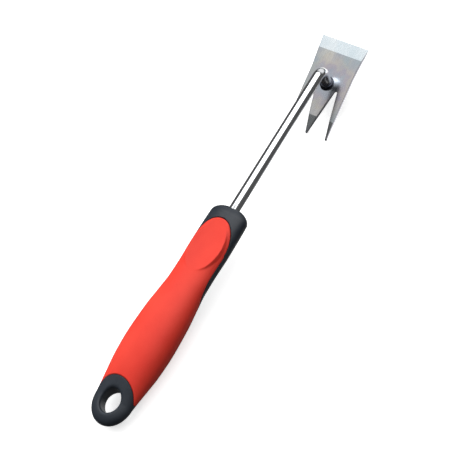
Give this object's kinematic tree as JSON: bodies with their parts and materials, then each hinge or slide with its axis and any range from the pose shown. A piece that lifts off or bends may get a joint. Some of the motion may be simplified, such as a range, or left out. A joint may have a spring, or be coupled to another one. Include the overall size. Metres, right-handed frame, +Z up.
{
  "type": "hand hoe and weeder",
  "caption": "Short hand hoe and weeder: steel plate with a hoe blade in front and pointed prongs behind, on a bent rod with a soft-grip handle and hanging eye.",
  "frame": {"origin": "middle of the tool's footprint, on the surface it lies on: the tool rests on its prong tips and the underside of its handle", "axes": "+X from the handle's hanging eye towards the head, +Y across the tool, +Z up, on the thumb rest's side"},
  "size_m": [0.2904, 0.0342, 0.036],
  "materials": {
    "plate_steel": "satin polished stainless plate, ground at the blade and prong tips",
    "bright_rod": "bright polished rod",
    "weld_metal": "dark weld bead",
    "core_black": "satin black moulded plastic",
    "soft_red": "matt soft-touch red rubber"
  },
  "bodies": {
    "root": {"head_plate": "plate_steel", "shaft": "bright_rod", "weld_bead": "weld_metal", "handle_core": "core_black", "grip_cover": "soft_red"}
  },
  "joints": []
}
